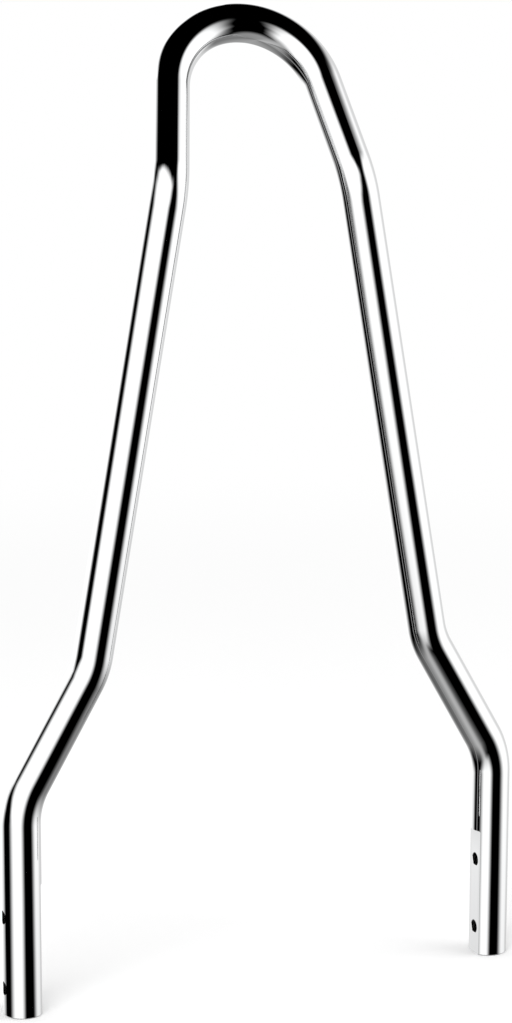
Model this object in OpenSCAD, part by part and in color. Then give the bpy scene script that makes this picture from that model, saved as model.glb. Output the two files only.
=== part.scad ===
/* [Bar] */
// Diameter of the solid round bar that the hoop is bent from
bar_d = 19.05; // [15.9:0.05:22.2]

/* [Hoop] */
// Distance between the axes of the two legs
leg_spacing = 245; // [215:1:275]
// Height of the corner where each leg starts to lean inwards
leg_h = 105; // [95:0.5:115]
// Lean of the shoulders away from upright, in degrees
shoulder_lean = 30; // [25:0.5:35]
// Height of the corner where each shoulder turns into the long side run
shoulder_top_h = 166.5; // [150:0.5:185]
// Lean of the side runs away from upright, in degrees
side_taper = 10; // [7:0.25:13]
// Height of the corner where the loop at the top folds back
fold_h = 393; // [360:1:430]
// Angle by which the loop is folded back, in degrees
fold_tilt = 28; // [10:1:45]
// Distance from the fold up to the centre of the arch, measured up the loop
loop_rise = 42.3; // [25:0.1:70]
// Centreline radius of the bends below the arch
bend_r = 39; // [28:0.5:50]

/* [Feet] */
// Depth of the flat on the inner side of each foot, below the round of the bar
flat_depth = 1.9; // [1:0.1:3.5]
// Distance from the upper bolt hole to the top end of the flat
flat_over = 16; // [8:0.5:24]
// Radius that the cutter leaves in the corner at the top end of the flat
flat_corner_r = 0.6; // [0.3:0.1:0.9]
// Height of the lower bolt hole above the end of the foot
hole_low_h = 13.5; // [9:0.5:18]
// Distance between the two bolt holes of a foot
hole_spacing = 35.5; // [25:0.5:42]
// Diameter of the bolt holes, drilled right through for a tapped thread
hole_d = 6.5; // [5:0.1:8.5]
// Depth of the chamfer at the mouth of each bolt hole in the flat
hole_chamfer = 0.4; // [0.2:0.1:0.8]
// Size of the broken edge round the sawn end of each foot
end_break = 0.5; // [0.2:0.1:1.2]

/* [Hidden] */
$fn = 96;

bar_r = bar_d / 2;
leg_x = leg_spacing / 2;
shoulder_x = leg_x - tan(shoulder_lean) * (shoulder_top_h - leg_h);
fold_x = shoulder_x - tan(side_taper) * (fold_h - shoulder_top_h);

// The arch is the one that both sides of the loop run into without a corner
arch_r = fold_x * cos(side_taper) - loop_rise * sin(side_taper);

// Lengths between corners, before the bends take their share
loop_run = (loop_rise + arch_r * sin(side_taper)) / cos(side_taper);
side_run = (fold_h - shoulder_top_h) / cos(side_taper);
shoulder_run = (shoulder_top_h - leg_h) / cos(shoulder_lean);

// Directions of travel down the right side: through the loop, then down the side run
down_loop = [sin(side_taper), -cos(side_taper) * sin(fold_tilt), -cos(side_taper) * cos(fold_tilt)];
down_side = [sin(side_taper), 0, -cos(side_taper)];
fold_bend = acos(down_loop * down_side);
shoulder_bend = shoulder_lean - side_taper;

// What each bend takes from the straight on either side of its corner
fold_take = bend_r * tan(fold_bend / 2);
shoulder_take = bend_r * tan(shoulder_bend / 2);
leg_take = bend_r * tan(shoulder_lean / 2);

// Turns about the bar's own axis, from the plane of one bend to the plane of the next
arch_side = -[cos(side_taper), sin(side_taper) * sin(fold_tilt), sin(side_taper) * cos(fold_tilt)];
fold_side_in = unit(down_side - (down_side * down_loop) * down_loop);
fold_side_out = unit((down_side * down_loop) * down_side - down_loop);
shoulder_side = [cos(side_taper), 0, sin(side_taper)];
fold_turn = turn_between(arch_side, fold_side_in, down_loop);
shoulder_turn = turn_between(fold_side_out, shoulder_side, down_side);

// Straights stop short of the bends, and a ball hardly larger than the bar fills the gap,
// so that no two surfaces only touch
joint_gap = 0.05;
ball_proud = 0.005;

// Legs run on below the ground and are sawn off level
saw_allowance = 5;

hole_high_h = hole_low_h + hole_spacing;
flat_len = hole_high_h + flat_over;
flat_from_axis = bar_r - flat_depth;
hole_r = hole_d / 2;

// How far cutting tools run past what they cut
clear = 1;

function unit(v) = v / norm(v);
function turn_between(from, to, axis) = atan2(cross(from, to) * axis, from * to);

module joint_ball() {
    sphere(r = bar_r + ball_proud);
}

// A straight length of bar along +Z, with what follows it at its far end
module straight(len) {
    translate([0, 0, joint_gap]) cylinder(h = len - 2 * joint_gap, r = bar_r);
    translate([0, 0, len]) children();
}

// A bend towards +X from the direction of +Z, with what follows it at its far end
module bend(radius, angle) {
    joint_ball();
    translate([radius, 0, 0]) {
        rotate([90, 0, 180])
            rotate_extrude(angle = angle)
                translate([radius, 0]) circle(bar_r);
        rotate([0, angle, 0]) translate([-radius, 0, 0]) {
            joint_ball();
            children();
        }
    }
}

// A turn about the bar's own axis, so that the next bend leans another way
module turn(angle) {
    rotate([0, 0, angle]) children();
}

// The right side of the hoop, followed down from the end of the arch
module side() {
    joint_ball();
    straight(loop_run - fold_take)
    turn(fold_turn)
    bend(bend_r, fold_bend)
    straight(side_run - fold_take - shoulder_take)
    turn(shoulder_turn)
    bend(bend_r, shoulder_bend)
    straight(shoulder_run - shoulder_take - leg_take)
    turn(180)
    bend(bend_r, shoulder_lean)
    straight(leg_h - leg_take + saw_allowance);
}

// The arch about its own centre, square to +Y
module arch() {
    rotate([90, -side_taper, 0])
        rotate_extrude(angle = 180 - 2 * side_taper)
            translate([arch_r, 0]) circle(bar_r);
}

module bent_bar() {
    translate([0, 0, fold_h]) rotate([-fold_tilt, 0, 0]) translate([0, 0, loop_rise]) {
        arch();
        for (left = [0, 1])
            mirror([left, 0, 0])
                rotate([0, -side_taper, 0]) translate([arch_r, 0, 0]) rotate([0, 180, 0]) side();
    }
}

// Everything below the level of the leg ends
module below_ground() {
    reach = leg_spacing + 2 * bar_d;
    translate([-reach / 2, -bar_d, -2 * saw_allowance]) cube([reach, 2 * bar_d, 2 * saw_allowance]);
}

// What the cutter takes to make the flat, for a leg on the Z axis whose inner side is towards -X
module flat_cut() {
    depth = flat_depth + clear;
    translate([-flat_from_axis, bar_r + clear, 0])
        rotate([90, 0, 0])
            linear_extrude(height = 2 * (bar_r + clear))
                difference() {
                    translate([-depth, -clear]) square([depth, flat_len + clear]);
                    translate([-flat_corner_r, flat_len - flat_corner_r])
                        difference() {
                            square(flat_corner_r + clear);
                            circle(flat_corner_r, $fn = 48);
                        }
                }
}

// A bolt hole along X through a leg on the Z axis, with a chamfered mouth in the flat
module bolt_hole(h) {
    translate([-bar_r - clear, 0, h]) rotate([0, 90, 0]) cylinder(h = 2 * (bar_r + clear), r = hole_r);
    translate([-flat_from_axis - clear, 0, h])
        rotate([0, 90, 0])
            cylinder(h = clear + hole_chamfer, r1 = hole_r + hole_chamfer + clear, r2 = hole_r);
}

// The ring that breaks the sharp edge of a sawn end
module end_edge() {
    rotate_extrude()
        polygon([
            [bar_r - end_break - clear, -clear],
            [bar_r + clear, -clear],
            [bar_r + clear, end_break + clear],
        ]);
}

module foot_cuts() {
    flat_cut();
    bolt_hole(hole_low_h);
    bolt_hole(hole_high_h);
    end_edge();
}

module hoop() {
    color("gainsboro")
        difference() {
            bent_bar();
            below_ground();
            for (left = [0, 1])
                mirror([left, 0, 0]) translate([leg_x, 0, 0]) foot_cuts();
        }
}

hoop();
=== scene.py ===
"""Looks of the chromed sissy bar: the bent round bar, its two tapped feet, and a soft white studio.

Lengths are in metres and angles in degrees, and a size that the part's own source has too carries the
same name. The bar is modelled again here because mirror-bright chrome shows every flat of a coarse
mesh, and because the bolt holes get their threads here.
"""

import logging
import math
from collections.abc import Callable
from dataclasses import dataclass, field
from enum import Enum
from functools import partial

import bmesh
import bpy
from mathutils import Matrix, Vector

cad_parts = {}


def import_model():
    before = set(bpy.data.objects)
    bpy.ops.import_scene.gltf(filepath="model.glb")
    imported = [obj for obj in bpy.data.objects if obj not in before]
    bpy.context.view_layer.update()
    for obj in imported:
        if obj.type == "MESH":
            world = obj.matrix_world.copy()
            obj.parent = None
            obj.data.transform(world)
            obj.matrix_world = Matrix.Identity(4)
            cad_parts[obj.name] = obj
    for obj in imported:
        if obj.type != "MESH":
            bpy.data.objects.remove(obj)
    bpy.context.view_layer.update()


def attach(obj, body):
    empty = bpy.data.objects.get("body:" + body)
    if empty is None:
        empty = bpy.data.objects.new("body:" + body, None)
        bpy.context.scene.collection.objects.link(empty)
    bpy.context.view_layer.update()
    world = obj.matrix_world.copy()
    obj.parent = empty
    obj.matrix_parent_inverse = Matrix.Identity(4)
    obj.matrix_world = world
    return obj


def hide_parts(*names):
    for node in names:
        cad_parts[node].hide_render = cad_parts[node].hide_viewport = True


LOG = logging.getLogger("sissy_bar")
MM = 0.001
WELD = MM / 1000
SLACK = MM / 100
SHARP_EDGE = math.radians(28)
BEHIND = 159.0
Points = tuple[tuple[float, float], ...]
Feed = bpy.types.NodeSocket | float


class Side(Enum):
    """The two sides of the hoop, by the sign of X."""

    LEFT = -1
    RIGHT = 1


class Part(Enum):
    """What a selection in edit mode is made of."""

    VERTS = "VERT"
    EDGES = "EDGE"
    FACES = "FACE"


def deselect_all() -> None:
    """Leaves no object selected or active."""
    if bpy.context.mode != "OBJECT":
        bpy.ops.object.mode_set(mode="OBJECT")
    bpy.ops.object.select_all(action="DESELECT")
    bpy.context.view_layer.objects.active = None


def make_active(piece: bpy.types.Object) -> None:
    """Selects one object alone and makes it active.

    Args:
        piece: The object that the next operators work on.
    """
    deselect_all()
    piece.select_set(True)
    bpy.context.view_layer.objects.active = piece


def pick(kind: Part, test: Callable[[Vector], bool]) -> int:
    """Selects vertices, edges or faces of the mesh in edit mode by where they are.

    An edge or face is selected where all its vertices pass.

    Args:
        kind: What to select.
        test: Says of a vertex's place whether it passes.

    Returns:
        The number of elements selected.
    """
    bpy.ops.mesh.select_mode(type=kind.value)
    bpy.ops.mesh.select_all(action="DESELECT")
    mesh = bpy.context.edit_object.data
    grid = bmesh.from_edit_mesh(mesh)
    elements = {Part.VERTS: grid.verts, Part.EDGES: grid.edges, Part.FACES: grid.faces}[kind]
    found = 0
    for element in elements:
        corners = [element] if kind is Part.VERTS else element.verts
        if all(test(corner.co) for corner in corners):
            element.select_set(True)
            found += 1
    grid.select_flush_mode()
    bmesh.update_edit_mesh(mesh)
    return found


def settle(piece: bpy.types.Object) -> None:
    """Puts a piece's place into its mesh, so that the object sits at the origin, unturned and unscaled."""
    make_active(piece)
    bpy.ops.object.transform_apply(location=True, rotation=True, scale=True)


def cut_away(piece: bpy.types.Object, cutter: bpy.types.Object) -> None:
    """Cuts one mesh out of another and removes the cutter.

    Args:
        piece: The mesh that is cut.
        cutter: The closed mesh that takes material away.
    """
    make_active(piece)
    modifier = piece.modifiers.new("cut", "BOOLEAN")
    modifier.operation = "DIFFERENCE"
    modifier.solver = "EXACT"
    modifier.object = cutter
    bpy.ops.object.modifier_apply(modifier=modifier.name)
    bpy.data.objects.remove(cutter)


class Nodes:
    """Builds a shader's arithmetic, one node for each step."""

    def __init__(self, tree: bpy.types.NodeTree) -> None:
        """Empties the node tree of a material or the world, to build in it."""
        self.tree = tree
        tree.nodes.clear()

    def add(self, kind: str, **settings: object) -> bpy.types.Node:
        """Adds one node.

        Args:
            kind: Blender's name for the node's type.
            **settings: Properties of the node.

        Returns:
            The new node.
        """
        node = self.tree.nodes.new(kind)
        for name, value in settings.items():
            setattr(node, name, value)
        return node

    def join(self, source: Feed, socket: bpy.types.NodeSocket) -> None:
        """Feeds a socket with another socket's result, or sets it to a constant.

        Args:
            source: An output socket, or a constant.
            socket: The input that takes it.
        """
        if isinstance(source, bpy.types.NodeSocket):
            self.tree.links.new(source, socket)
        else:
            socket.default_value = source

    def maths(self, operation: str, *values: Feed) -> bpy.types.NodeSocket:
        """Works out one step of arithmetic.

        Args:
            operation: The Math node's operation.
            *values: Sockets or numbers that it works on.

        Returns:
            The result.
        """
        node = self.add("ShaderNodeMath", operation=operation)
        for place, value in enumerate(values):
            self.join(value, node.inputs[place])
        return node.outputs[0]

    def here(self) -> bpy.types.NodeSocket:
        """Reads where the shaded point is, in the object's own coordinates."""
        return self.add("ShaderNodeTexCoord").outputs["Object"]

    def noise(self, place: bpy.types.NodeSocket, scale: float, detail: float) -> bpy.types.NodeSocket:
        """Reads an even, cloudy pattern.

        Args:
            place: Where in the pattern to read.
            scale: How fine the pattern is.
            detail: How many finer layers it has.

        Returns:
            A value between 0 and 1.
        """
        node = self.add("ShaderNodeTexNoise")
        self.join(place, node.inputs["Vector"])
        node.inputs["Scale"].default_value = scale
        node.inputs["Detail"].default_value = detail
        return node.outputs["Fac"]

    def step(self, value: Feed, middle: Feed, half_width: Feed) -> bpy.types.NodeSocket:
        """Makes a soft step from 0 to 1.

        Args:
            value: What is compared.
            middle: Where the step is half way up.
            half_width: How far either side of the middle the step reaches.

        Returns:
            0 well below the middle and 1 well above it.
        """
        node = self.add("ShaderNodeMapRange", interpolation_type="SMOOTHSTEP")
        past = self.maths("SUBTRACT", value, middle)
        self.join(self.maths("DIVIDE", past, half_width), node.inputs["Value"])
        node.inputs["From Min"].default_value = -1.0
        return node.outputs["Result"]

    def follow(
        self, value: Feed, points: Points, reach: float = 90.0, top: float = 180.0
    ) -> bpy.types.NodeSocket:
        """Reads a line drawn through points.

        Args:
            value: Where along the line to read.
            points: The line's points, from the lowest value to the highest.
            reach: The line is drawn from -reach to reach.
            top: The line's results stay between -top and top.

        Returns:
            The line's height there.
        """
        node = self.add("ShaderNodeFloatCurve")
        along = self.maths("MULTIPLY_ADD", value, 0.5 / reach, 0.5)
        self.join(along, node.inputs["Value"])
        curve = node.mapping.curves[0]
        inner = [((x / reach + 1) / 2, (y / top + 1) / 2) for x, y in points]
        ends = [(0.0, inner[0][1]), *(p for p in inner if 0 < p[0] < 1), (1.0, inner[-1][1])]
        curve.points[0].location = ends[0]
        curve.points[1].location = ends[-1]
        for place in ends[1:-1]:
            curve.points.new(*place)
        for point in curve.points:
            point.handle_type = "VECTOR"
        node.mapping.update()
        return self.maths("MULTIPLY_ADD", node.outputs["Value"], 2 * top, -top)

    def metal(self, colour: tuple[float, float, float], rough: Feed) -> bpy.types.Node:
        """Adds a bare metal surface.

        Args:
            colour: The metal's colour.
            rough: How rough it is.

        Returns:
            The shader's node.
        """
        shader = self.add("ShaderNodeBsdfPrincipled")
        shader.inputs["Base Color"].default_value = (*colour, 1.0)
        shader.inputs["Metallic"].default_value = 1.0
        self.join(rough, shader.inputs["Roughness"])
        return shader

    def show(self, shader: bpy.types.NodeSocket) -> None:
        """Makes a shader the material's surface."""
        self.join(shader, self.add("ShaderNodeOutputMaterial").inputs["Surface"])

    def blend(
        self, share: bpy.types.NodeSocket, first: bpy.types.NodeSocket, second: bpy.types.NodeSocket
    ) -> None:
        """Blends two shaders and makes the result the material's surface.

        Args:
            share: How much of the second shows.
            first: Shows at a share of 0.
            second: Shows at a share of 1.
        """
        mix = self.add("ShaderNodeMixShader")
        self.join(share, mix.inputs[0])
        self.join(first, mix.inputs[1])
        self.join(second, mix.inputs[2])
        self.show(mix.outputs[0])


def new_material(name: str) -> tuple[bpy.types.Material, Nodes]:
    """Makes a material without any nodes.

    Args:
        name: The material's name.

    Returns:
        The material, and its nodes to build on.
    """
    material = bpy.data.materials.new(name)
    material.use_nodes = True
    return material, Nodes(material.node_tree)


@dataclass(frozen=True)
class ChromePlate:
    """Polished chrome over buffed steel."""

    colour: tuple[float, float, float] = (0.866, 0.87, 0.874)
    roughness: float = 0.018
    roughness_swing: float = 0.012
    haze_scale: float = 60.0
    haze_detail: float = 4.0
    line_scale: float = 900.0
    line_detail: float = 2.0
    line_stretch: tuple[float, float, float] = (1.0, 1.0, 0.04)
    mottle_top: float = 0.5
    ripple_scale: float = 55.0
    ripple_detail: float = 1.0
    ripple_strength: float = 0.02
    ripple_height: float = MM

    def material(self) -> bpy.types.Material:
        """Makes the finish.

        Returns:
            The material.
        """
        finish, nodes = new_material("polished_chrome_plate")
        place = nodes.here()
        haze = nodes.noise(place, self.haze_scale, self.haze_detail)
        stretch = nodes.add("ShaderNodeMapping")
        nodes.join(place, stretch.inputs["Vector"])
        stretch.inputs["Scale"].default_value = self.line_stretch
        lines = nodes.noise(stretch.outputs["Vector"], self.line_scale, self.line_detail)
        rough = nodes.add("ShaderNodeMapRange")
        nodes.join(nodes.maths("MULTIPLY", haze, lines), rough.inputs["Value"])
        rough.inputs["From Max"].default_value = self.mottle_top
        rough.inputs["To Min"].default_value = self.roughness - self.roughness_swing
        rough.inputs["To Max"].default_value = self.roughness + self.roughness_swing
        bump = nodes.add("ShaderNodeBump")
        bump.inputs["Strength"].default_value = self.ripple_strength
        bump.inputs["Distance"].default_value = self.ripple_height
        nodes.join(nodes.noise(place, self.ripple_scale, self.ripple_detail), bump.inputs["Height"])
        shader = nodes.metal(self.colour, rough.outputs["Result"])
        nodes.join(bump.outputs["Normal"], shader.inputs["Normal"])
        nodes.show(shader.outputs[0])
        return finish


@dataclass(frozen=True)
class PaintedShadeBore:
    """A dark metal for the insides of the tapped holes: painted shade in the bores, with a cloudy roughness.
    """

    colour: tuple[float, float, float] = (0.16, 0.158, 0.155)
    roughness: float = 0.3
    grime_scale: float = 1500.0
    grime_detail: float = 2.0

    def material(self) -> bpy.types.Material:
        """Makes the dark metal that paints shade into the bores.

        Returns:
            The material.
        """
        finish, nodes = new_material("painted_bore_shade")
        grime = nodes.noise(nodes.here(), self.grime_scale, self.grime_detail)
        shader = nodes.metal(self.colour, nodes.maths("MULTIPLY", grime, 2 * self.roughness))
        nodes.show(shader.outputs[0])
        return finish


@dataclass(frozen=True)
class Corner:
    """A corner of the bar's centreline, rounded by one bend."""

    place: Vector
    radius: float


@dataclass
class TappedHole:
    """A bolt hole through a foot along X, with a thread that stops short of both its ends."""

    hole_d: float = 6.5 * MM
    rim_break: float = 0.15 * MM
    thread_d: float = 7.94 * MM
    thread_start: float = 0.7 * MM
    thread_stop: float = 2.0 * MM
    pitch: float = 1.411 * MM
    crest_share: float = 0.125
    flank_angle: float = 30.0
    spare_turns: int = 2
    steps: int = 40
    cone_facets: int = 96
    cone_run_on: float = 0.05 * MM
    overrun: float = 1.0 * MM

    @staticmethod
    def span(face_x: float, back_x: float, start: float, stop: float) -> list[float]:
        """The lower and higher X of the hole from start behind the flat to stop short of its far end."""
        ahead = math.copysign(1.0, back_x - face_x)
        return sorted((face_x + ahead * start, back_x - ahead * stop))

    def thread_profile(self) -> list[tuple[float, float]]:
        """One pitch of the thread as the tap cuts it, as moves along the axis and outwards.

        Returns:
            Each straight of the profile in turn.
        """
        depth = (self.thread_d - self.hole_d) / 2
        slope = depth * math.tan(math.radians(self.flank_angle))
        crest = self.pitch * self.crest_share
        root = self.pitch - crest - 2 * slope
        return [(root, 0.0), (slope, depth), (crest, 0.0), (slope, -depth)]

    def tap(self, face_x: float, back_x: float, height: float) -> bpy.types.Object:
        """Models what the drill and the tap take out.

        Args:
            face_x: Where the flat is.
            back_x: Where the round outer side of the foot is.
            height: How high the hole is.

        Returns:
            A closed cutter along X, longer than the hole and threaded in the middle.
        """
        low, high = self.span(face_x, back_x, -self.overrun, -self.overrun)
        start = low - self.spare_turns * self.pitch
        deselect_all()
        bpy.ops.mesh.primitive_plane_add(size=MM, location=(start, 0, height))
        tap = bpy.context.active_object
        bpy.ops.object.mode_set(mode="EDIT")
        bpy.ops.mesh.select_mode(type=Part.VERTS.value)
        bpy.ops.mesh.select_all(action="SELECT")
        bpy.ops.mesh.merge(type="CENTER")
        bpy.ops.transform.translate(value=(0, 0, self.hole_d / 2))
        for along, outward in self.thread_profile():
            bpy.ops.mesh.extrude_vertices_move(TRANSFORM_OT_translate={"value": (along, 0, outward)})
        bpy.ops.object.mode_set(mode="OBJECT")
        screw = tap.modifiers.new("thread", "SCREW")
        screw.axis = "X"
        screw.screw_offset = self.pitch
        screw.iterations = math.ceil((high - low) / self.pitch) + 2 * self.spare_turns
        screw.steps = self.steps
        screw.render_steps = self.steps
        screw.use_merge_vertices = True
        screw.merge_threshold = WELD
        bpy.ops.object.modifier_apply(modifier=screw.name)
        settle(tap)
        self.clear_thread_ends(tap, face_x, back_x, height)
        bpy.ops.object.mode_set(mode="EDIT")
        bpy.ops.mesh.select_all(action="SELECT")
        bpy.ops.mesh.remove_doubles(threshold=WELD)
        for end, outward in ((low, -1), (high, 1)):
            bpy.ops.mesh.select_all(action="SELECT")
            bpy.ops.mesh.bisect(
                plane_co=(end, 0, height),
                plane_no=(outward, 0, 0),
                use_fill=True,
                clear_outer=True,
                threshold=WELD / 10,
            )
        bpy.ops.mesh.select_all(action="SELECT")
        bpy.ops.mesh.normals_make_consistent(inside=False)
        bpy.ops.object.mode_set(mode="OBJECT")
        return tap

    def clear_thread_ends(self, tap: bpy.types.Object, face_x: float, back_x: float, height: float) -> None:
        """Brings the thread down to the bore near both ends of the hole.

        Args:
            tap: The threaded cutter.
            face_x: Where the flat is.
            back_x: Where the round outer side of the foot is.
            height: How high the hole is.
        """
        bore_r = self.hole_d / 2
        low, high = self.span(face_x, back_x, self.thread_start, self.thread_stop)
        for vertex in tap.data.vertices:
            place = vertex.co
            out = math.hypot(place.y, place.z - height)
            if out > bore_r and not low < place.x < high:
                vertex.co = (place.x, place.y * bore_r / out, height + (place.z - height) * bore_r / out)

    def countersink(self, face_x: float, height: float, side: Side) -> bpy.types.Object:
        """Models what the countersink takes off the hole's rim in the flat.

        Args:
            face_x: Where the flat is.
            height: How high the hole is.
            side: Which foot the hole is in.

        Returns:
            A closed cone.
        """
        bore_r = self.hole_d / 2
        depth = self.rim_break + self.cone_run_on
        deselect_all()
        bpy.ops.mesh.primitive_cone_add(
            vertices=self.cone_facets,
            radius1=bore_r + self.rim_break + self.overrun,
            radius2=bore_r - self.cone_run_on,
            depth=self.overrun + depth,
            location=(face_x + side.value * (depth - self.overrun) / 2, 0, height),
            rotation=(0, side.value * math.pi / 2, 0),
        )
        cone = bpy.context.active_object
        settle(cone)
        return cone


@dataclass
class Foot:
    """The flat and the bolt holes at the lower end of one leg."""

    side: Side
    leg_x: float
    bar_r: float
    flat_depth: float = 1.9 * MM
    flat_over: float = 16.0 * MM
    flat_corner_r: float = 0.6 * MM
    corner_segments: int = 8
    hole_low_h: float = 13.5 * MM
    hole_spacing: float = 35.5 * MM
    hole: TappedHole = field(default_factory=TappedHole)
    clear: float = 1.0 * MM

    @property
    def flat_len(self) -> float:
        """Height of the top end of the flat."""
        return self.hole_low_h + self.hole_spacing + self.flat_over

    @property
    def flat_x(self) -> float:
        """Where the plane of the flat is."""
        return self.side.value * (self.leg_x - self.bar_r + self.flat_depth)

    def mill_flat(self, bar: bpy.types.Object) -> None:
        """Mills the flat on the inner side of the leg, with the cutter's round corner at its top end.

        Args:
            bar: The bent bar.
        """
        depth = self.flat_depth + self.clear
        width = 2 * (self.bar_r + self.clear)
        height = self.flat_len + self.clear
        middle = (self.flat_x - self.side.value * depth / 2, 0, self.flat_len - height / 2)
        deselect_all()
        bpy.ops.mesh.primitive_cube_add(size=1, location=middle)
        cutter = bpy.context.active_object
        bpy.ops.object.mode_set(mode="EDIT")
        bpy.ops.mesh.select_all(action="SELECT")
        bpy.ops.transform.resize(value=(depth, width, height), center_override=middle)
        bpy.ops.object.mode_set(mode="OBJECT")
        settle(cutter)
        bpy.ops.object.mode_set(mode="EDIT")
        pick(Part.EDGES, self.at_cutter_corner)
        bpy.ops.mesh.bevel(offset=self.flat_corner_r, segments=self.corner_segments, affect="EDGES")
        bpy.ops.object.mode_set(mode="OBJECT")
        cut_away(bar, cutter)

    def at_cutter_corner(self, place: Vector) -> bool:
        """Whether a point is on the corner that the cutter rounds at the top end of the flat."""
        return abs(place.x - self.flat_x) < SLACK and abs(place.z - self.flat_len) < SLACK

    def hole_heights(self) -> tuple[float, float]:
        """How high the lower and the upper bolt hole are."""
        return self.hole_low_h, self.hole_low_h + self.hole_spacing

    def is_in_bore(self, height: float, place: Vector) -> bool:
        """Whether a point is inside one of the bolt holes, below its broken rim.

        Args:
            height: How high that hole is.
            place: The point.

        Returns:
            True for a point on the bore or on its thread.
        """
        depth = place.x * self.side.value - abs(self.flat_x)
        inside = math.hypot(place.y, place.z - height) < self.hole.thread_d / 2 + SLACK
        return inside and depth > self.hole.rim_break - SLACK

    def drill_and_tap(self, bar: bpy.types.Object) -> None:
        """Drills, taps and countersinks both bolt holes.

        Args:
            bar: The bent bar, with its flat milled.
        """
        back_x = self.side.value * (self.leg_x + self.bar_r)
        for height in self.hole_heights():
            cut_away(bar, self.hole.tap(self.flat_x, back_x, height))
            cut_away(bar, self.hole.countersink(self.flat_x, height, self.side))


@dataclass
class Hoop:
    """The round bar, bent into a hoop with a folded-back loop at its top."""

    bar_d: float = 19.05 * MM
    leg_spacing: float = 245.0 * MM
    leg_h: float = 105.0 * MM
    shoulder_lean: float = 30.0
    shoulder_top_h: float = 166.5 * MM
    side_taper: float = 10.0
    fold_h: float = 393.0 * MM
    fold_tilt: float = 28.0
    loop_rise: float = 42.3 * MM
    bend_r: float = 39.0 * MM
    end_break: float = 0.5 * MM
    around: int = 192
    bend_step: float = 1.6
    finish: ChromePlate = field(default_factory=ChromePlate)
    # A dark metal put in the bolt holes as painted shade.
    bore_shade_paint: PaintedShadeBore = field(default_factory=PaintedShadeBore)

    @property
    def bar_r(self) -> float:
        """Radius of the bar."""
        return self.bar_d / 2

    @property
    def leg_x(self) -> float:
        """Distance from the middle plane to the axis of a leg."""
        return self.leg_spacing / 2

    def half_corners(self) -> list[Corner]:
        """The corners of the right side, from the leg up to the fold.

        Returns:
            The three corners below the arch.
        """
        shoulder_rise = self.shoulder_top_h - self.leg_h
        side_rise = self.fold_h - self.shoulder_top_h
        shoulder_x = self.leg_x - math.tan(math.radians(self.shoulder_lean)) * shoulder_rise
        fold_x = shoulder_x - math.tan(math.radians(self.side_taper)) * side_rise
        return [
            Corner(Vector((self.leg_x, 0, self.leg_h)), self.bend_r),
            Corner(Vector((shoulder_x, 0, self.shoulder_top_h)), self.bend_r),
            Corner(Vector((fold_x, 0, self.fold_h)), self.bend_r),
        ]

    def corners(self) -> list[Corner]:
        """All corners from the right leg over the arch to the left leg.

        Returns:
            The seven corners. The arch is the corner where both sides of the loop would meet.
        """
        right = self.half_corners()
        taper = math.radians(self.side_taper)
        tilt = math.radians(self.fold_tilt)
        fold_x = right[-1].place.x
        arch_r = fold_x * math.cos(taper) - self.loop_rise * math.sin(taper)
        meet = fold_x / math.tan(taper)
        apex = Vector((0, meet * math.sin(tilt), self.fold_h + meet * math.cos(tilt)))
        flip = Matrix.Diagonal((-1, 1, 1))
        left = [Corner(flip @ corner.place, corner.radius) for corner in reversed(right)]
        return [*right, Corner(apex, arch_r), *left]

    def bend_bar(self) -> bpy.types.Object:
        """Runs a circle along the straights and spins it round the bends.

        Returns:
            The bent bar, closed at both ends.
        """
        start = Vector((self.leg_x, 0, 0))
        end = Vector((-self.leg_x, 0, 0))
        rise = Vector((0, 0, self.end_break))
        sawn_r = self.bar_r - self.end_break
        corners = self.corners()
        places = [start, *(corner.place for corner in corners), end]
        deselect_all()
        bpy.ops.mesh.primitive_circle_add(
            vertices=self.around, radius=sawn_r, fill_type="NOTHING", location=start
        )
        bar = bpy.context.active_object
        bar.name = "hoop_bar"
        bpy.ops.object.mode_set(mode="EDIT")
        bpy.ops.mesh.select_mode(type=Part.EDGES.value)
        bpy.ops.mesh.select_all(action="SELECT")
        self.extrude_to_radius(rise, start + rise, self.bar_r / sawn_r)
        here = start + rise
        for corner, before, after in zip(corners, places, places[2:]):
            here = self.bend_at(corner, before, after, here)
        bpy.ops.mesh.extrude_region_move(TRANSFORM_OT_translate={"value": end + rise - here})
        self.extrude_to_radius(-rise, end, sawn_r / self.bar_r)
        bpy.ops.mesh.select_all(action="SELECT")
        bpy.ops.mesh.remove_doubles(threshold=WELD)
        bpy.ops.mesh.fill_holes(sides=0)
        bpy.ops.mesh.normals_make_consistent(inside=False)
        settle(bar)
        return bar

    def extrude_to_radius(self, move: Vector, centre: Vector, growth: float) -> None:
        """Extrudes the open end along a leg and changes its radius, which leaves a broken edge."""
        bpy.ops.mesh.extrude_region_move(TRANSFORM_OT_translate={"value": move})
        bpy.ops.transform.resize(value=(growth, growth, 1), center_override=centre)

    def bend_at(self, corner: Corner, before: Vector, after: Vector, here: Vector) -> Vector:
        """Extrudes the open end up to a bend and spins it round the bend.

        Args:
            corner: The corner that the bend rounds.
            before: The corner before it.
            after: The corner after it.
            here: Where the open end of the bar is.

        Returns:
            Where the open end is after the bend.
        """
        coming = (corner.place - before).normalized()
        going = (after - corner.place).normalized()
        turn = coming.angle(going)
        take = corner.radius * math.tan(turn / 2)
        bend_start = corner.place - coming * take
        inward = (going - coming).normalized()
        centre = corner.place + inward * corner.radius / math.cos(turn / 2)
        bpy.ops.mesh.extrude_region_move(TRANSFORM_OT_translate={"value": bend_start - here})
        bpy.ops.mesh.spin(
            steps=math.ceil(math.degrees(turn) / self.bend_step),
            angle=turn,
            center=centre,
            axis=going.cross(coming).normalized(),
        )
        return corner.place + going * take

    def feet(self) -> list[Foot]:
        """The left and the right foot."""
        return [Foot(side, self.leg_x, self.bar_r) for side in Side]

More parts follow.
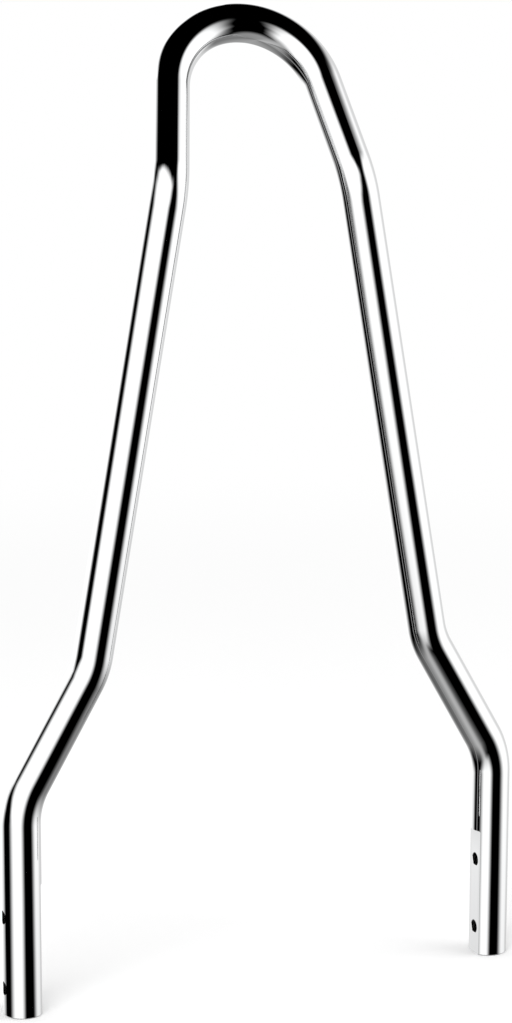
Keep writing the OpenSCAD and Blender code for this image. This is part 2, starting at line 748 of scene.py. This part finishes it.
    def build(self) -> bpy.types.Object:
        """Bends the bar, works its feet, plates it and paints shade into its bolt holes.

        Returns:
            The finished hoop.
        """
        bar = self.bend_bar()
        for foot in self.feet():
            foot.mill_flat(bar)
            foot.drill_and_tap(bar)
        make_active(bar)
        bpy.ops.object.shade_smooth_by_angle(angle=SHARP_EDGE)
        bar.data.materials.clear()
        bar.data.materials.append(self.finish.material())
        # Second material: painted shade for the insides of the bolt holes.
        bar.data.materials.append(self.bore_shade_paint.material())
        self.paint_bore_shade(bar)
        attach(bar, "root")
        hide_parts("hoop")
        return bar

    def paint_bore_shade(self, bar: bpy.types.Object) -> None:
        """Paints shade into the insides of the bolt holes with a dark metal.

        Args:
            bar: The bar, whose last material is the painted shade for the bores.
        """
        make_active(bar)
        bpy.ops.object.mode_set(mode="EDIT")
        bar.active_material_index = len(bar.data.materials) - 1
        for foot in self.feet():
            for height in foot.hole_heights():
                found = pick(Part.FACES, partial(foot.is_in_bore, height))
                LOG.info("%s foot: %d faces in a bore", foot.side.name.lower(), found)
                bpy.ops.object.material_slot_assign()
        bpy.ops.object.mode_set(mode="OBJECT")


def show_only_in_reflections(thing: bpy.types.Object) -> None:
    """Makes a piece of the studio meet mirrored light alone.

    Args:
        thing: The piece.
    """
    thing.visible_camera = False
    thing.visible_diffuse = False
    thing.visible_transmission = False
    thing.visible_volume_scatter = False
    thing.visible_shadow = False


@dataclass(frozen=True)
class Bearings:
    """Where a point of the studio is as seen from the middle of the object, in degrees.

    The compass is 0 towards the front and grows towards the object's right, up to BEHIND, which is
    straight behind the object as the photo looks at it. The height is above the horizon.
    """

    compass: bpy.types.NodeSocket
    height: bpy.types.NodeSocket

    @classmethod
    def read(cls, nodes: Nodes) -> "Bearings":
        """Works out the bearings of the point that is shaded.

        Args:
            nodes: The shader of a piece whose own origin is the middle of the object.

        Returns:
            The point's bearings.
        """
        outward = nodes.add("ShaderNodeVectorMath", operation="NORMALIZE")
        nodes.join(nodes.here(), outward.inputs[0])
        axes = nodes.add("ShaderNodeSeparateXYZ")
        nodes.join(outward.outputs[0], axes.inputs[0])
        front = nodes.maths("MULTIPLY", axes.outputs["Y"], -1.0)
        compass = nodes.maths("DEGREES", nodes.maths("ARCTAN2", axes.outputs["X"], front))
        compass = nodes.maths("WRAP", compass, BEHIND - 360.0, BEHIND)
        height = nodes.maths("DEGREES", nodes.maths("ARCSINE", axes.outputs["Z"]))
        return cls(compass, height)


@dataclass(frozen=True)
class BlackCloth:
    """The cut of a black cloth with soft edges: its two sides by height, and its lower end, in degrees."""

    near_side: Points
    far_side: Points
    near_soft: Points
    far_soft: Points
    foot: float
    foot_soft: float

    def cover(self, nodes: Nodes, at: Bearings) -> bpy.types.NodeSocket:
        """Works out how much of the light the cloth takes.

        Args:
            nodes: The shader that it is part of.
            at: Where the shaded point is.

        Returns:
            1 where the cloth is, and 0 clear of it.
        """
        near_soft, far_soft = (nodes.follow(at.height, soft) for soft in (self.near_soft, self.far_soft))
        near = nodes.step(at.compass, nodes.follow(at.height, self.near_side), near_soft)
        far = nodes.step(at.compass, nodes.follow(at.height, self.far_side), far_soft)
        down = nodes.step(at.height, self.foot, self.foot_soft)
        return nodes.maths("MULTIPLY", nodes.maths("SUBTRACT", near, far), down)


@dataclass
class StudioWalls:
    """The far white walls that the chrome mirrors, the dark room over them and the grey ground."""

    radius: float = 20.0
    segments: int = 96
    rings: int = 48
    white: float = 1.2
    grey_wall: float = 0.77
    grey_from: float = 102.25
    grey_to: float = 146.0
    grey_soft: float = 12.0
    rim: Points = (
        (-201, 42), (-186, 42), (-175, 45), (-163, 42), (-152, 38), (-128, 37), (-116, 36), (-108, 32),
        (-100, 29), (-93, 30), (-79, 35.5), (-66, 40), (-54, 42.5), (-39, 42.3), (-23, 39.5), (-8, 33.5),
        (0, 27.5), (6, 25.5), (14, 25), (25, 28), (34, 31.5), (44, 36.5), (52, 39), (120, 32.9), (159, 38),
    )
    rim_soft: Points = (
        (-201, 7), (-120, 5), (-100, 4), (-60, 3.5), (-40, 4.5), (-20, 6.5), (0, 8), (60, 7.8), (120, 9),
    )
    ground: Points = (
        (-201, -27), (-172, -27), (-160, -22.5), (-148, -22.5), (-125, -34), (-60, -30.4), (-20, -30),
        (20, -28), (60, -26), (120, -26), (159, -24),
    )
    ground_soft: float = 11.8
    ground_tone: Points = (
        (-201, 0.4), (-120, 0.2), (-60, 0.55), (-20, 0.33), (0, 0.32), (60, 0.28), (100, 0.2), (159, 0.4),
    )
    left_cloth: BlackCloth = BlackCloth(
        near_side=(
            (-35, -155), (-26, -147), (-18, -139), (-12, -132), (-6, -126), (4, -124), (10, -120),
            (16, -115), (21, -116), (24, -113), (27, -114), (30, -111), (33, -107),
        ),
        far_side=(
            (-35, -63), (-26, -73), (-22, -78.5), (-18, -76), (-12, -76.5), (-6, -80), (0, -83.5),
            (7, -90), (12, -92), (18, -93), (22, -91.5), (25, -88), (31, -86), (36, -79),
        ),
        near_soft=((-25, 16), (-5, 12), (15, 9), (25, 8)),
        far_soft=((-25, 20), (-18, 16), (-5, 9), (12, 13), (25, 13)),
        foot=-47.5,
        foot_soft=15.0,
    )

    def material(self) -> bpy.types.Material:
        """Makes the glow of the walls.

        Returns:
            The material.
        """
        wall, nodes = new_material("studio_wall")
        wall.cycles.emission_sampling = "NONE"
        at = Bearings.read(nodes)
        into_grey = nodes.step(at.compass, self.grey_from, self.grey_soft)
        out_of_grey = nodes.step(at.compass, self.grey_to, self.grey_soft)
        greyed = nodes.maths("SUBTRACT", into_grey, out_of_grey)
        level = nodes.maths("MULTIPLY_ADD", greyed, self.grey_wall - self.white, self.white)
        around = 360.0 - BEHIND
        tone = nodes.follow(at.compass, self.ground_tone, reach=around, top=1.0)
        up = nodes.step(at.height, nodes.follow(at.compass, self.ground, reach=around), self.ground_soft)
        glow = nodes.maths("MULTIPLY_ADD", up, nodes.maths("SUBTRACT", level, tone), tone)
        rim, rim_soft = (nodes.follow(at.compass, line, reach=around) for line in (self.rim, self.rim_soft))
        overhead = nodes.step(at.height, rim, rim_soft)
        for dark in (overhead, self.left_cloth.cover(nodes, at)):
            glow = nodes.maths("MULTIPLY", glow, nodes.maths("SUBTRACT", 1.0, dark))
        light = nodes.add("ShaderNodeEmission")
        nodes.join(glow, light.inputs["Strength"])
        nodes.show(light.outputs[0])
        return wall

    def build(self, middle: Vector) -> bpy.types.Object:
        """Puts up the walls.

        Args:
            middle: The middle of the object.

        Returns:
            The walls, which are stage.
        """
        deselect_all()
        bpy.ops.mesh.primitive_uv_sphere_add(
            segments=self.segments, ring_count=self.rings, radius=self.radius, location=middle
        )
        walls = bpy.context.active_object
        walls.name = "studio_walls"
        walls.data.materials.append(self.material())
        show_only_in_reflections(walls)
        return walls


@dataclass
class FrontCurtain:
    """The black curtain hung in front of the object, just to the right of the camera."""

    radius: float = 1.27
    height: float = 5.0
    facets: int = 128
    cloth: BlackCloth = BlackCloth(
        near_side=(
            (-40, -34), (-34, -19), (-26, -15.3), (-20, -14.8), (-15, -13), (-10, -11), (-5, -9.8), (3, -7.5),
            (8, -4), (14, -1), (20, 1), (26, 4), (32, 5), (40, 2),
        ),
        far_side=(
            (-40, 72), (-34, 61), (-28, 55.5), (-20, 52.5), (-14, 49.5), (-10, 46.5), (-4, 42), (3, 40),
            (8, 39), (14, 37.5), (20, 36), (26, 35), (32, 35), (40, 37),
        ),
        near_soft=((-25, 13.1), (0, 11), (8, 10), (26, 11), (36, 12)),
        far_soft=((-25, 17.6), (0, 12.9), (8, 11), (15, 10)),
        foot=-47.5,
        foot_soft=12.5,
    )

    def material(self) -> bpy.types.Material:
        """Makes the black cloth, clear where it doesn't reach.

        Returns:
            The material.
        """
        curtain, nodes = new_material("black_curtain")
        cover = self.cloth.cover(nodes, Bearings.read(nodes))
        clear = nodes.add("ShaderNodeBsdfTransparent")
        black = nodes.add("ShaderNodeEmission")
        black.inputs["Strength"].default_value = 0.0
        nodes.blend(cover, clear.outputs[0], black.outputs[0])
        return curtain

    def build(self, middle: Vector) -> bpy.types.Object:
        """Hangs the curtain.

        Args:
            middle: The middle of the object.

        Returns:
            The curtain, which is stage.
        """
        deselect_all()
        bpy.ops.mesh.primitive_cylinder_add(
            vertices=self.facets,
            radius=self.radius,
            depth=self.height,
            end_fill_type="NOTHING",
            location=middle,
        )
        curtain = bpy.context.active_object
        curtain.name = "front_curtain"
        curtain.data.materials.append(self.material())
        show_only_in_reflections(curtain)
        return curtain


@dataclass
class BounceCard:
    """An upright grey card behind the object's left side, which the right side mirrors.

    It is turned edge-on to the left side, so that the left side hardly mirrors it.
    """

    place: tuple[float, float] = (-262.0 * MM, 118.0 * MM)
    half_width: float = 68.0 * MM
    low: float = -500.0 * MM
    high: float = 430.0 * MM
    level: float = 0.37
    edge_on_to: tuple[float, float] = (-118.0 * MM, 0.0)

    def material(self) -> bpy.types.Material:
        """Makes the grey card, which fades out towards its long edges.

        Returns:
            The material.
        """
        card, nodes = new_material("bounce_card")
        card.cycles.emission_sampling = "NONE"
        axes = nodes.add("ShaderNodeSeparateXYZ")
        nodes.join(nodes.here(), axes.inputs[0])
        aside = nodes.maths("ABSOLUTE", axes.outputs["X"])
        cover = nodes.maths("SUBTRACT", 1.0, nodes.maths("DIVIDE", aside, self.half_width))
        clear = nodes.add("ShaderNodeBsdfTransparent")
        grey = nodes.add("ShaderNodeEmission")
        grey.inputs["Strength"].default_value = self.level
        nodes.blend(cover, clear.outputs[0], grey.outputs[0])
        return card

    def build(self) -> bpy.types.Object:
        """Stands the card up, with one edge towards the left side of the object.

        Returns:
            The card, which is stage.
        """
        ahead = Vector(self.edge_on_to) - Vector(self.place)
        deselect_all()
        bpy.ops.mesh.primitive_plane_add(size=1)
        card = bpy.context.active_object
        card.name = "bounce_card"
        card.dimensions = (2 * self.half_width, self.high - self.low, 0)
        make_active(card)
        bpy.ops.object.transform_apply(location=False, rotation=False, scale=True)
        card.rotation_euler = (math.pi / 2, 0, math.atan2(ahead.y, ahead.x))
        card.location = (*self.place, (self.low + self.high) / 2)
        card.data.materials.append(self.material())
        show_only_in_reflections(card)
        return card


@dataclass(frozen=True)
class SoftLamp:
    """A square soft lamp."""

    name: str
    place: tuple[float, float, float]
    size: float
    power: float

    def hang(self, target: Vector) -> bpy.types.Object:
        """Hangs the lamp and points it.

        Args:
            target: What it points at.

        Returns:
            The lamp.
        """
        deselect_all()
        bpy.ops.object.light_add(type="AREA", location=self.place)
        lamp = bpy.context.active_object
        lamp.name = self.name
        lamp.data.size = self.size
        lamp.data.energy = self.power
        aim = target - Vector(self.place)
        lamp.rotation_euler = aim.to_track_quat("-Z", "Y").to_euler()
        lamp.visible_glossy = False
        return lamp


@dataclass
class Studio:
    """The pale floor, the lamps, and what the chrome mirrors."""

    floor_radius: float = 3.0
    floor_facets: int = 128
    floor_colour: tuple[float, float, float] = (0.98, 0.98, 0.98)
    real_floor: float = 0.9
    real_floor_soft: float = 0.4
    ambient: float = 0.74
    middle: tuple[float, float, float] = (0.0, 0.0, 237.0 * MM)
    lamps: tuple[SoftLamp, ...] = (
        SoftLamp("soft_lamp_left", (-1.1, -1.2, 1.9), size=1.2, power=20.0),
        SoftLamp("soft_lamp_right", (1.3, -0.6, 1.9), size=1.2, power=11.5),
    )
    walls: StudioWalls = field(default_factory=StudioWalls)
    curtain: FrontCurtain = field(default_factory=FrontCurtain)
    card: BounceCard = field(default_factory=BounceCard)

    def floor_material(self) -> bpy.types.Material:
        """Makes the pale paper, which turns into plain white away from the object.

        Returns:
            The material.
        """
        paper, nodes = new_material("studio_paper")
        distance = nodes.add("ShaderNodeVectorMath", operation="LENGTH")
        nodes.join(nodes.here(), distance.inputs[0])
        away = nodes.step(distance.outputs["Value"], self.real_floor, self.real_floor_soft)
        seen = nodes.add("ShaderNodeLightPath").outputs["Is Camera Ray"]
        matt = nodes.add("ShaderNodeBsdfDiffuse")
        matt.inputs["Color"].default_value = (*self.floor_colour, 1.0)
        white = nodes.add("ShaderNodeEmission")
        nodes.blend(nodes.maths("MULTIPLY", away, seen), matt.outputs[0], white.outputs[0])
        return paper

    def lay_floor(self) -> bpy.types.Object:
        """Lays the floor under the feet.

        Returns:
            The floor, which is stage.
        """
        deselect_all()
        bpy.ops.mesh.primitive_circle_add(
            vertices=self.floor_facets, radius=self.floor_radius, fill_type="NGON", location=(0, 0, 0)
        )
        floor = bpy.context.active_object
        floor.name = "studio_floor"
        floor.data.materials.append(self.floor_material())
        floor.visible_glossy = False
        return floor

    def light_world(self) -> None:
        """Makes the surroundings white to the camera and in mirrored light, and a soft fill elsewhere."""
        world = bpy.data.worlds.new("white_studio")
        world.use_nodes = True
        bpy.context.scene.world = world
        nodes = Nodes(world.node_tree)
        path = nodes.add("ShaderNodeLightPath")
        seen = nodes.maths("MAXIMUM", path.outputs["Is Camera Ray"], path.outputs["Is Glossy Ray"])
        seen = nodes.maths("MAXIMUM", seen, path.outputs["Is Transmission Ray"])
        background = nodes.add("ShaderNodeBackground")
        strength = nodes.maths("MULTIPLY_ADD", seen, 1.0 - self.ambient, self.ambient)
        nodes.join(strength, background.inputs["Strength"])
        background.inputs["Color"].default_value = (1.0, 1.0, 1.0, 1.0)
        output = nodes.add("ShaderNodeOutputWorld")
        nodes.join(background.outputs[0], output.inputs["Surface"])

    def build(self) -> None:
        """Sets up the floor, the surroundings, the lamps and what the chrome mirrors."""
        middle = Vector(self.middle)
        self.lay_floor()
        self.light_world()
        for lamp in self.lamps:
            lamp.hang(middle)
        self.walls.build(middle)
        self.curtain.build(middle)
        self.card.build()


@dataclass
class PhotoCamera:
    """A camera that stands where the photograph was taken from."""

    target: tuple[float, float, float] = (-3.696 * MM, 0.0, 236.317 * MM)
    distance: float = 1472.6 * MM
    turn: float = 21.208
    drop: float = 11.958
    roll: float = 0.131
    lens: float = 108.744
    sensor: float = 36.0
    clip_start: float = 10.0 * MM
    clip_end: float = 50.0

    def build(self) -> bpy.types.Object:
        """Sets up the scene's camera.

        Returns:
            The camera.
        """
        turn, drop, roll = (math.radians(angle) for angle in (self.turn, self.drop, self.roll))
        ahead = Vector(
            (math.sin(turn) * math.cos(drop), math.cos(turn) * math.cos(drop), -math.sin(drop))
        )
        level = Vector((math.cos(turn), -math.sin(turn), 0))
        upright = level.cross(ahead)
        right = level * math.cos(roll) + upright * math.sin(roll)
        up = upright * math.cos(roll) - level * math.sin(roll)
        deselect_all()
        bpy.ops.object.camera_add()
        camera = bpy.context.active_object
        camera.name = "photo_camera"
        camera.data.lens = self.lens
        camera.data.sensor_width = self.sensor
        camera.data.clip_start = self.clip_start
        camera.data.clip_end = self.clip_end
        axes = Matrix((right, up, -ahead)).transposed().to_4x4()
        camera.matrix_world = Matrix.Translation(Vector(self.target) - ahead * self.distance) @ axes
        bpy.context.scene.camera = camera
        return camera


def main() -> None:
    """Builds the hoop, the studio and the camera in order."""
    logging.basicConfig(level=logging.INFO, format="%(message)s")
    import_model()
    bpy.context.scene.view_settings.view_transform = "Standard"
    hoop = Hoop().build()
    LOG.info("%s: %d faces", hoop.name, len(hoop.data.polygons))
    Studio().build()
    LOG.info("studio: floor, lamps, walls, curtain and bounce card")
    camera = PhotoCamera().build()
    LOG.info("%s: %.3f mm lens", camera.name, camera.data.lens)


if __name__ == "__main__":
    main()
